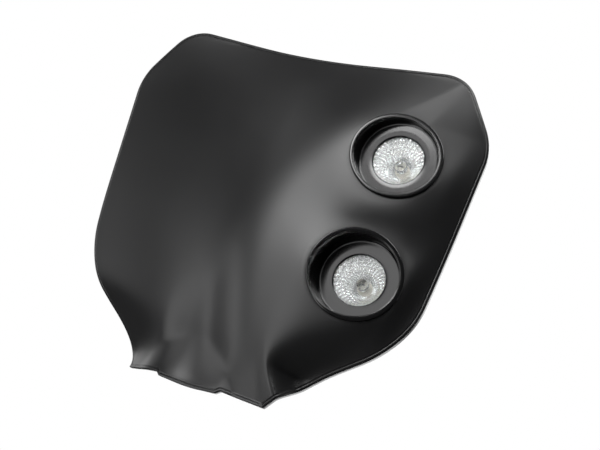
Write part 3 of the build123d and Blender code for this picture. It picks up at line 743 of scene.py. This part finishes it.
def softened(profile, radius):
    """Closed outline with each corner rounded, by its own radius if it has one."""
    result = []
    count = len(profile)
    for index, corner in enumerate(profile):
        here = Vector(corner[:2])
        limit = corner[2] if len(corner) > 2 else radius
        before = Vector(profile[index - 1][:2]) - here
        after = Vector(profile[(index + 1) % count][:2]) - here
        reach = min(limit, SOFT_SHARE * before.length, SOFT_SHARE * after.length)
        if reach < LEAST_ROUNDING:
            result.append(tuple(here))
            continue
        start = here + before.normalized() * reach
        end = here + after.normalized() * reach
        for step in range(SOFT_STEPS + 1):
            t = step / SOFT_STEPS
            result.append(tuple(start * (1 - t) ** 2 + here * 2 * t * (1 - t) + end * t**2))
    return result


def turned(name, lamp, profile, rounding, count):
    """Closed ring about a lamp's axis from (radius, way back from the lamp's front) corners."""
    height = LAMPS[lamp][0]
    rings = [circle(LAMP_X, LAMP_Y + back, height, radius, count)
             for radius, back in softened(profile, rounding)]
    return skin_from_rings(name, rings, closed=True)


def in_wall(ring):
    """Ring moved along Y to the middle of the mask's wall."""
    moved = ring.copy()
    moved[:, 1] = EDGE_Y - front_depth(ring[:, 0], ring[:, 2] + MOUNT_HEIGHT) + WALL / 2
    return moved


def behind_pad(ring, name):
    """Ring moved along Y to the middle of the wall behind a lamp pad."""
    moved = ring.copy()
    moved[:, 1] = EDGE_Y - pad_depth_at(name, ring[:, 0], ring[:, 2] + MOUNT_HEIGHT) + WALL / 2
    return moved


def make_collar(name):
    """Collar behind a lamp's hole, from its rear end into the wall."""
    y, height = EDGE_Y - COLLAR_END, LAMPS[name][0]
    inside = circle(LAMP_X, y, height, HOLE_RADIUS, COLLAR_SIDES)
    outside = circle(LAMP_X, y, height, HOLE_RADIUS + COLLAR_WALL, COLLAR_SIDES)
    rings = [inside, outside, behind_pad(outside, name), behind_pad(inside, name)]
    return skin_from_rings("collar", rings, closed=True)


def make_boss(x, height, foot_depth):
    """Screw boss from its chamfered rear end into the wall."""
    end = ((BOSS_BORE, 0.0), (BOSS_RADIUS - BOSS_CHAMFER, 0.0), (BOSS_RADIUS, BOSS_CHAMFER))
    rings = [circle(x, EDGE_Y - foot_depth - rise, height, radius, BOSS_SIDES) for radius, rise in end]
    rings += [in_wall(circle(x, 0.0, height, radius, BOSS_SIDES)) for radius in (BOSS_RADIUS, BOSS_BORE)]
    return skin_from_rings("boss", rings, closed=True)


def make_mask():
    """Moulded wall with its holes and lip seats, the collars and the bosses."""
    skin = make_mask_skin()
    extras = []
    for name in LAMPS:
        hole_centre = Vector((LAMP_X, EDGE_Y, level(LAMPS[name][0])))
        straight = (hole_centre, Vector((1, 0, 0)), Vector((0, 0, 1)), Vector((0, -1, 0)))
        cut(skin, cylinder_along("hole", straight, HOLE_RADIUS, -HOLE_BACK, HOLE_FRONT))
        seat_radius = LIP_RADIUS + SEAT_CLEARANCE
        cut(skin, cylinder_along("seat", tilted_frame(name), seat_radius, -LIP_SEAT, SEAT_FRONT))
        extras.append(make_collar(name))
    for height, foot_depth in FEET:
        for x in (-BOSS_OFFSET, BOSS_OFFSET):
            extras.append(make_boss(x, height, foot_depth))
    mask = joined("mask_skin_whole", [skin] + extras)
    shade_smooth(mask.data, MASK_SHARP_ANGLE)
    mask.name = "mask_skin"
    return mask


def post_circle(y):
    """Circle of the topmost screw post, about the lamp's own axis."""
    return circle(0.0, y, MOUNT_HEIGHT + POST_CIRCLE, POST_RADIUS, POST_SIDES)


def plane_y(name, radius, rise, angles):
    """Y of a plane parallel to a lamp pad, at points about the lamp's axis."""
    _, depth, right_slope, up_slope = pad_values(name)
    scale = math.sqrt(1 + right_slope**2 + up_slope**2)
    tilt = right_slope * radius * np.cos(angles) + up_slope * radius * np.sin(angles)
    return EDGE_Y - depth - rise * scale + tilt


def pocket_mouth(name, rise, angles):
    """Radii at which the tapered pocket meets a plane parallel to the pad."""
    radius = np.full(len(angles), POCKET_RADIUS)
    for _ in range(MOUTH_ROUNDS):
        radius = POCKET_RADIUS + (RING_Y - plane_y(name, radius, rise, angles)) * POCKET_DRAFT
    return radius


def mouth_ring(name, extra, rise, angles):
    """Ring in a plane parallel to the pad, wider than the pocket's mouth there."""
    radius = pocket_mouth(name, rise, angles) + extra
    return np.column_stack([LAMP_X + radius * np.cos(angles), plane_y(name, radius, rise, angles),
                            level(LAMPS[name][0]) + radius * np.sin(angles)])


def lip_rings(name, angles):
    """Barrel, seat and proud lip, and the rebate inside the lip."""
    count = len(angles)
    rings = [circle(LAMP_X, RING_Y + RING_THICKNESS, LAMPS[name][0], BARREL_RADIUS, count)]
    rings.append(pad_circle(name, BARREL_RADIUS, -LIP_SEAT, count))
    rings.append(pad_circle(name, LIP_RADIUS - LIP_CHAMFER, -LIP_SEAT, count))
    rings.append(pad_circle(name, LIP_RADIUS, -LIP_SEAT + LIP_CHAMFER, count))
    for angle in np.linspace(0.0, 1.0, 7) * math.pi / 2:
        rings.append(pad_circle(name, LIP_RADIUS - LIP_OUTER * (1 - math.cos(angle)),
                                LIP_PROUD - LIP_OUTER * (1 - math.sin(angle)), count))
    for angle in np.linspace(0.0, 1.0, 6) * math.pi / 2:
        rise = LIP_PROUD - LIP_INNER * (1 - math.cos(angle))
        rings.append(mouth_ring(name, REBATE_WIDTH + LIP_INNER * (1 - math.sin(angle)), rise, angles))
    for extra, rise in REBATE_PROFILE:
        rings.append(mouth_ring(name, extra, rise, angles))
    return rings


def pocket_rings(name, angles):
    """Tapered wall of the pocket, its rounded foot and the flat ring round the window."""
    height, count = LAMPS[name][0], len(angles)
    top = mouth_ring(name, 0.0, REBATE_FLOOR - REBATE_ROUNDING, angles)
    foot_radius = POCKET_RADIUS + POCKET_FOOT * POCKET_DRAFT
    foot = circle(LAMP_X, RING_Y - POCKET_FOOT, height, foot_radius, count)
    rings = [top * (1 - share) + foot * share for share in (0.0, 0.25, 0.5, 0.75, 0.95)]
    for angle in np.linspace(0.0, 1.0, 8) * math.pi / 2:
        rings.append(circle(LAMP_X, RING_Y - POCKET_FOOT * (1 - math.sin(angle)), height,
                            POCKET_RADIUS - POCKET_FOOT * (1 - math.cos(angle)), count))
    for radius, back in RING_PROFILE:
        rings.append(circle(LAMP_X, RING_Y + back, height, radius, count))
    return rings


def make_bezel(name):
    """Tilted lip, tapered gloss pocket and flat ring as one closed skin, with its screw posts."""
    angles = around(BEZEL_SIDES)
    rings = lip_rings(name, angles) + pocket_rings(name, angles)
    bezel = skin_from_rings(f"{name}_bezel_skin", rings, closed=True, sharp_angle=BEZEL_SHARP_ANGLE)
    post = skin_from_rings("post", [post_circle(RING_THICKNESS - RING_DEPTH), post_circle(-COLLAR_END)])
    place = (LAMP_X, EDGE_Y, level(LAMPS[name][0]))
    posts = turned_copies("posts", post, POST_COUNT, None, place, SHARP_ANGLE)
    whole = joined(f"{name}_bezel_whole", [bezel, posts])
    whole.name = f"{name}_bezel_skin"
    return whole


def bowl_radius(back, front_radius, front, rear_radius, rear):
    """Radius of a paraboloid bowl that passes through its two rims."""
    share = (back - front) / (rear - front)
    return math.sqrt(max(front_radius**2 + (rear_radius**2 - front_radius**2) * share, TINY))


def bowl_outside(share):
    """Radius and way back on the outside of the bowl, from its rim to its neck."""
    back = RIM_LENGTH + (BOWL_DEPTH - RIM_LENGTH) * share
    return bowl_radius(back, RIM_INNER, RIM_LENGTH, NECK_RADIUS, BOWL_DEPTH), back


def bowl_inside(share):
    """Radius and way back on the inside of the bowl, from its mouth to its floor."""
    back = GLASS_THICKNESS + (BOWL_FLOOR - GLASS_THICKNESS) * share
    return bowl_radius(back, BOWL_MOUTH, GLASS_THICKNESS, NECK_BORE, BOWL_FLOOR), back


def make_reflector_glass(name):
    """Outside of the lamp's bowl with its rim, its neck and the seat of the cover glass."""
    profile = [(NECK_BORE, NECK_END), (NECK_RADIUS, NECK_END), (NECK_RADIUS, BOWL_DEPTH)]
    for step in range(BOWL_STEPS - 1, 0, -1):
        profile.append((*bowl_outside(step / BOWL_STEPS), 0.0))
    profile += [(RIM_INNER, RIM_LENGTH), (LAMP_RADIUS, RIM_LENGTH), (LAMP_RADIUS, 0.0)]
    profile += [(SEAT_RADIUS, 0.0), (SEAT_RADIUS, GLASS_THICKNESS)]
    profile.append((BOWL_MOUTH + COAT_GAP, GLASS_THICKNESS))
    for step in range(1, BOWL_STEPS):
        radius, back = bowl_inside(step / BOWL_STEPS)
        profile.append((radius + COAT_GAP, back, 0.0))
    profile.append((NECK_BORE, BOWL_FLOOR))
    return turned(f"{name}_reflector_glass", name, profile, rounding=0.2, count=160)


def facet_strip():
    """One strip of domed facets, from the rim to the neck, about the Y axis."""
    points = []
    lines = FACET_ROWS * FACET_STEPS
    for line in range(lines + 1):
        radius, back = bowl_inside(line / lines)
        row = min(line // FACET_STEPS, FACET_ROWS - 1)
        swell = 1 - (2 * (line / FACET_STEPS - row) - 1) ** 2
        for step in range(FACET_STEPS + 1):
            turn = (step / FACET_STEPS + 0.5 * (row % 2)) % 1.0
            dome = (1 - (2 * turn - 1) ** 2) * (FACET_LEAST_DOME + (1 - FACET_LEAST_DOME) * swell)
            angle = 2 * math.pi * step / (FACET_STEPS * FACET_FLUTES)
            inner = radius * (1 - FACET_RELIEF * dome)
            points.append((inner * math.cos(angle), back, inner * math.sin(angle)))
    faces = []
    for line in range(lines):
        for step in range(FACET_STEPS):
            a = line * (FACET_STEPS + 1) + step
            faces.append((a, a + 1, a + FACET_STEPS + 2, a + FACET_STEPS + 1))
    return mesh_object("facet_strip", points, faces)


def build_turned_copies():
    """Geometry nodes that repeat a mesh about the Y axis and weld the copies."""
    inputs = {"Geometry": "Geometry", "Count": "Int", "Weld": "Float", "Material": "Material"}
    tree, entry, leave = new_group("turned_copies", "GeometryNodeTree", inputs, {"Geometry": "Geometry"})
    given = entry.outputs
    line = new_node(tree, "GeometryNodeMeshLine", {"Offset": (0.0, 0.0, 0.0), "Count": given["Count"]})
    share = math_node(tree, "DIVIDE", 2 * math.pi, given["Count"])
    index = tree.nodes.new("GeometryNodeInputIndex").outputs[0]
    turn = new_node(tree, "ShaderNodeCombineXYZ", {"Y": math_node(tree, "MULTIPLY", index, share)})
    copies = new_node(tree, "GeometryNodeInstanceOnPoints", {
        "Points": line.outputs["Mesh"], "Instance": given["Geometry"], "Rotation": turn.outputs[0]})
    real = new_node(tree, "GeometryNodeRealizeInstances", {0: copies.outputs[0]})
    weld = new_node(tree, "GeometryNodeMergeByDistance", {
        "Geometry": real.outputs[0], "Distance": given["Weld"]})
    dressed = new_node(tree, "GeometryNodeSetMaterial", {
        "Geometry": weld.outputs[0], "Material": given["Material"]})
    tree.links.new(dressed.outputs[0], leave.inputs[0])
    return tree


def turned_copies(name, pattern, count, material, place, sharp_angle):
    """Mesh of a pattern repeated about the Y axis through a place, made by the nodes above."""
    tree = bpy.data.node_groups.get("turned_copies") or build_turned_copies()
    change = pattern.modifiers.new("copies", "NODES")
    change.node_group = tree
    values = {"Count": count, "Weld": WELD_REACH * MM, "Material": material}
    for item in tree.interface.items_tree:
        if item.in_out == "INPUT" and item.name in values:
            change[item.identifier] = values[item.name]
    bpy.context.view_layer.update()
    mesh = evaluated_mesh(pattern)
    pattern.modifiers.clear()
    bpy.data.objects.remove(pattern)
    mesh.transform(Matrix.Translation(Vector(place) * MM))
    shade_smooth(mesh, sharp_angle)
    return linked(name, mesh)


def make_facets(name, material):
    """Mirror coat on the pressed facets inside the bowl."""
    place = (LAMP_X, LAMP_Y, level(LAMPS[name][0]))
    return turned_copies(f"{name}_reflector_facets", facet_strip(), FACET_FLUTES, material, place,
                         FACET_SHARP_ANGLE)


def make_cover_glass(name):
    """Flat clear disc in the seat at the front of the bowl."""
    profile = [(AXIS_GAP, 0.0, 0.0), (GLASS_RADIUS, 0.0, 0.3)]
    profile += [(GLASS_RADIUS, GLASS_THICKNESS, 0.2), (AXIS_GAP, GLASS_THICKNESS, 0.0)]
    return turned(f"{name}_cover_glass_skin", name, profile, rounding=0.3, count=128)


def make_capsule(name):
    """Quartz capsule with a domed front and a pinched stem."""
    profile = [(AXIS_GAP, CAPSULE_FRONT)]
    for share in np.linspace(0.15, 1.0, 9):
        angle = share * math.pi / 2
        profile.append((CAPSULE_RADIUS * math.sin(angle),
                        CAPSULE_FRONT + CAPSULE_RADIUS * (1 - math.cos(angle))))
    profile += [*CAPSULE_STEM, (AXIS_GAP, CAPSULE_STEM[-1][1])]
    return turned(f"{name}_capsule_skin", name, profile, rounding=0.0, count=64)


def make_filament(name):
    """Coil and its two lead wires inside the capsule."""
    height = level(LAMPS[name][0])
    steps = COIL_TURNS * 10
    points = [Vector((LAMP_X - LEAD_OFFSET, LAMP_Y + LEAD_END, height)),
              Vector((LAMP_X - COIL_HALF_LENGTH, LAMP_Y + LEAD_START, height))]
    for step in range(steps + 1):
        angle = 2 * math.pi * step / 10
        points.append(Vector((LAMP_X - COIL_HALF_LENGTH + 2 * COIL_HALF_LENGTH * step / steps,
                              LAMP_Y + COIL_BACK + COIL_RADIUS * math.cos(angle),
                              height + COIL_RADIUS * math.sin(angle))))
    points.append(Vector((LAMP_X + COIL_HALF_LENGTH, LAMP_Y + LEAD_START, height)))
    points.append(Vector((LAMP_X + LEAD_OFFSET, LAMP_Y + LEAD_END, height)))
    curve = bpy.data.curves.new("filament", "CURVE")
    curve.dimensions = "3D"
    curve.bevel_depth = WIRE_RADIUS * MM
    curve.bevel_resolution = 2
    spline = curve.splines.new("POLY")
    spline.points.add(len(points) - 1)
    for point, place in zip(spline.points, points):
        point.co = (*(place * MM), 1.0)
    holder = linked("filament", curve)
    mesh = evaluated_mesh(holder)
    bpy.data.objects.remove(holder)
    return linked(f"{name}_filament", mesh)


def refined(node, bevel):
    """Smooth-shaded copy of a CAD node with slightly broken edges, in its place."""
    source = frame["nodes"][node]
    piece = linked(f"{node}_skin", source.data.copy())
    work = bmesh.new()
    work.from_mesh(piece.data)
    bmesh.ops.remove_doubles(work, verts=work.verts, dist=MERGE_REACH * MM)
    bmesh.ops.dissolve_limit(work, angle_limit=math.radians(FLAT_ANGLE), verts=work.verts,
                             edges=work.edges)
    work.to_mesh(piece.data)
    work.free()
    shade_smooth(piece.data, NODE_SHARP_ANGLE)
    if bevel:
        change = piece.modifiers.new("edges", "BEVEL")
        change.width = bevel * MM
        change.segments = 2
        change.limit_method = "ANGLE"
        change.angle_limit = math.radians(BEVEL_ANGLE)
        change.harden_normals = True
    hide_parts(node)
    return piece


def feed(tree, node, inputs):
    """Links a node's inputs from other nodes' outputs, or sets them to values."""
    for name, value in inputs.items():
        if isinstance(value, bpy.types.NodeSocket):
            tree.links.new(value, node.inputs[name])
        else:
            node.inputs[name].default_value = value
    return node


def new_node(tree, kind, inputs, **settings):
    """New node with its settings and its inputs."""
    node = tree.nodes.new(kind)
    for name, value in settings.items():
        setattr(node, name, value)
    return feed(tree, node, inputs)


def object_place(tree):
    """Coordinates on the piece itself."""
    return tree.nodes.new("ShaderNodeTexCoord").outputs["Object"]


def new_group(name, kind, inputs, outputs):
    """Empty node group with named sockets, and the nodes at its two ends."""
    group = bpy.data.node_groups.new(name, kind)
    for direction, sockets in (("INPUT", inputs), ("OUTPUT", outputs)):
        for label, socket in sockets.items():
            group.interface.new_socket(label, in_out=direction, socket_type=f"NodeSocket{socket}")
    return group, group.nodes.new("NodeGroupInput"), group.nodes.new("NodeGroupOutput")


def math_node(tree, operation, first, second, clamp=False):
    """Output of one calculation; each side is a number or another node's output."""
    node = new_node(tree, "ShaderNodeMath", {0: first, 1: second}, operation=operation, use_clamp=clamp)
    return node.outputs[0]


def noise(tree, vector, scale, detail, roughness):
    """Noise over a surface."""
    inputs = {"Vector": vector, "Scale": scale, "Detail": detail, "Roughness": roughness}
    return new_node(tree, "ShaderNodeTexNoise", inputs).outputs["Fac"]


def build_moulded_grain():
    """Fine moulded grain, slow flow waviness and a little handling wear in the gloss."""
    inputs = {"Color": "Color", **dict.fromkeys(GRAIN_INPUTS, "Float")}
    outputs = {"Color": "Color", "Roughness": "Float", "Height": "Float"}
    group, entry, leave = new_group("moulded_grain", "ShaderNodeTree", inputs, outputs)
    place, given = object_place(group), entry.outputs
    fine = noise(group, place, given["Grain Scale"], detail=3.0, roughness=0.6)
    wave = noise(group, place, 14.0, detail=1.0, roughness=0.4)
    smears = noise(group, place, 38.0, detail=4.0, roughness=0.65)
    patches = noise(group, place, 9.0, detail=2.0, roughness=0.5)
    smeared = math_node(group, "MULTIPLY", math_node(group, "SUBTRACT", smears, 0.5), given["Wear"])
    patched = math_node(group, "MULTIPLY", math_node(group, "SUBTRACT", patches, 0.5),
                        math_node(group, "MULTIPLY", given["Wear"], 0.5))
    gloss = math_node(group, "ADD", smeared, patched)
    rough = math_node(group, "ADD", given["Roughness"], gloss, clamp=True)
    height = math_node(group, "ADD", math_node(group, "MULTIPLY", fine, given["Grain"]),
                       math_node(group, "MULTIPLY", wave, given["Wave"]))
    value = math_node(group, "ADD", 0.92, math_node(group, "MULTIPLY", patches, 0.16))
    tint = new_node(group, "ShaderNodeHueSaturation", {"Color": given["Color"], "Value": value})
    feed(group, leave, {"Color": tint.outputs["Color"], "Roughness": rough, "Height": height})
    return group


def new_material(name):
    material = bpy.data.materials.new(name)
    material.use_nodes = True
    shader = material.node_tree.nodes["Principled BSDF"]
    return material, material.node_tree, shader


def grained(look, grain_group):
    """Moulded, painted or coated surface with the shared grain group and the values of its look."""
    name, color, grain_values, (bump_strength, bump_height) = LOOKS[look]
    material, tree, shader = new_material(name)
    grain = {"Color": (*color, 1.0), **dict(zip(GRAIN_INPUTS, grain_values))}
    group = new_node(tree, "ShaderNodeGroup", grain, node_tree=grain_group)
    bump = new_node(tree, "ShaderNodeBump", {
        "Strength": bump_strength, "Distance": bump_height, "Height": group.outputs["Height"]})
    feed(tree, shader, {
        "Base Color": group.outputs["Color"],
        "Roughness": group.outputs["Roughness"],
        "Normal": bump.outputs["Normal"],
        "Metallic": METALLIC.get(look, 0.0),
        "Specular IOR Level": SPECULAR.get(look, 0.5),
    })
    return material


def clear_glass(name, roughness, ior):
    """Clear glass with a faint uneven film on it."""
    material, tree, shader = new_material(name)
    film = noise(tree, object_place(tree), 60.0, detail=4.0, roughness=0.6)
    rough = math_node(tree, "MULTIPLY", math_node(tree, "SUBTRACT", film, 0.45, clamp=True), 0.06)
    feed(tree, shader, {
        "Base Color": GLASS_TINT,
        "Metallic": 0.0,
        "Transmission Weight": 1.0,
        "IOR": ior,
        "Roughness": math_node(tree, "ADD", rough, roughness),
    })
    return material


def build_materials():
    grain_group = build_moulded_grain()
    mats = {look: grained(look, grain_group) for look in LOOKS}
    mats["glass"] = clear_glass("lamp_glass", roughness=0.0, ior=1.18)
    mats["quartz"] = clear_glass("capsule_glass", roughness=0.02, ior=1.46)
    return mats


def dress(piece, material):
    """Gives a piece its one material, and lets it ride on the body."""
    piece.data.materials.clear()
    piece.data.materials.append(material)
    if piece.get("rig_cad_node") is None:
        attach(piece, BODY)
    return piece


def make_all():
    """Every piece, each in place of its CAD node."""
    mats = build_materials()
    mask = make_mask()
    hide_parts("mask_shell")
    dress(mask, mats["mask"])
    for name in LAMPS:
        for maker, node, look, slot in (
            (make_bezel, "bezel", "bezel", "bezel_plastic"),
            (make_reflector_glass, "reflector", "mirror", "reflector"),
            (make_cover_glass, "cover_glass", "glass", "lamp_glass"),
            (make_capsule, "capsule", "quartz", "capsule_glass"),
        ):
            piece = maker(name)
            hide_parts(f"{name}_{node}")
            dress(piece, mats[look])
        facets = make_facets(name, mats["mirror"])
        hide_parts(f"{name}_reflector")
        dress(facets, mats["mirror"])
        dress(make_filament(name), mats["filament"])
        for node, look, slot, bevel in LAMP_NODES:
            dress(refined(f"{name}_{node}", bevel), mats[look])
    for node, look, slot, bevel in SHARED_NODES:
        dress(refined(node, bevel), mats[look])


def area_light(name, place, size, energy):
    """Soft box aimed at the object."""
    data = bpy.data.lights.new(name, "AREA")
    data.shape = "RECTANGLE"
    data.size, data.size_y = size
    data.energy = energy
    light = linked(name, data)
    light.location = Vector(place)
    aim = Vector(LIGHT_TARGET) - Vector(place)
    light.rotation_euler = aim.to_track_quat("-Z", "Y").to_euler()


def smooth_range(tree, value, start, end):
    """0 up to the start, 1 from the end on and smooth between them."""
    inputs = {"Value": value, "From Min": start, "From Max": end}
    node = new_node(tree, "ShaderNodeMapRange", inputs, interpolation_type="SMOOTHSTEP")
    return node.outputs["Result"]


def mixed(tree, share, first, second):
    """Mix of two shaders."""
    return new_node(tree, "ShaderNodeMixShader", {0: share, 1: first, 2: second}).outputs[0]


def make_world():
    """Dim even studio light; white where the camera, a reflection or glass looks past the object."""
    world = bpy.data.worlds.new("studio")
    bpy.context.scene.world = world
    world.use_nodes = True
    tree = world.node_tree
    tree.nodes.clear()
    leave = tree.nodes.new("ShaderNodeOutputWorld")
    plain = new_node(tree, "ShaderNodeBackground", {"Color": STUDIO_GREY, "Strength": STUDIO_LIGHT})
    white = new_node(tree, "ShaderNodeBackground", {"Color": WHITE, "Strength": 1.0})
    place = tree.nodes.new("ShaderNodeTexCoord").outputs["Generated"]
    split = new_node(tree, "ShaderNodeSeparateXYZ", {0: place})
    behind = smooth_range(tree, split.outputs["Y"], *BEHIND_RANGE)
    rays = tree.nodes.new("ShaderNodeLightPath").outputs
    soft = math_node(tree, "ADD", rays["Is Glossy Ray"], rays["Is Transmission Ray"], clamp=True)
    soft = math_node(tree, "MULTIPLY", soft, behind)
    seen = math_node(tree, "MAXIMUM", rays["Is Camera Ray"], soft)
    feed(tree, leave, {"Surface": mixed(tree, seen, plain.outputs[0], white.outputs[0])})


def make_floor():
    """Pale floor that keeps the object's shadow and runs into the white far from the object."""
    mesh = bpy.data.meshes.new("floor")
    corners = [(x * FLOOR_REACH, y * FLOOR_REACH, FLOOR_LEVEL)
               for x, y in ((-1, -1), (1, -1), (1, 1), (-1, 1))]
    mesh.from_pydata(corners, [], [(0, 1, 2, 3)])
    floor = linked("floor", mesh)
    material, tree, shader = new_material("floor_paper")
    away = new_node(tree, "ShaderNodeVectorMath", {0: object_place(tree)}, operation="LENGTH")
    fade = smooth_range(tree, away.outputs["Value"], *FLOOR_FADE)
    camera_ray = tree.nodes.new("ShaderNodeLightPath").outputs["Is Camera Ray"]
    tones = {"A": FLOOR_UNSEEN, "B": FLOOR_SEEN, "Factor": camera_ray}
    tone = new_node(tree, "ShaderNodeMix", tones, data_type="RGBA")
    feed(tree, shader, {"Base Color": tone.outputs["Result"], "Roughness": 0.9})
    white = new_node(tree, "ShaderNodeEmission", {"Strength": 1.0})
    far = math_node(tree, "MULTIPLY", camera_ray, fade)
    shown = mixed(tree, far, shader.outputs[0], white.outputs[0])
    feed(tree, tree.nodes["Material Output"], {"Surface": shown})
    mesh.materials.append(material)


def make_lights():
    """Soft boxes around the object, set where the photo shows the sheen of the black mask."""
    for name, (place, size, energy) in SOFT_BOXES.items():
        area_light(name, place, size, energy)


def make_camera():
    """Camera at the photograph's viewing angle."""
    view = Vector(CAMERA_VIEW).normalized()
    right = Vector(CAMERA_RIGHT)
    right = (right - view * right.dot(view)).normalized()
    up = right.cross(view)
    data = bpy.data.cameras.new("camera")
    data.lens = LENS
    data.sensor_width = SENSOR_WIDTH
    camera = linked("camera", data)
    turn = Matrix((right, up, -view)).transposed()
    camera.matrix_world = Matrix.Translation(CAMERA_PLACE) @ turn.to_4x4()
    bpy.context.scene.camera = camera


make_all()
make_world()
make_floor()
make_lights()
make_camera()
bpy.context.scene.view_settings.view_transform = "Standard"
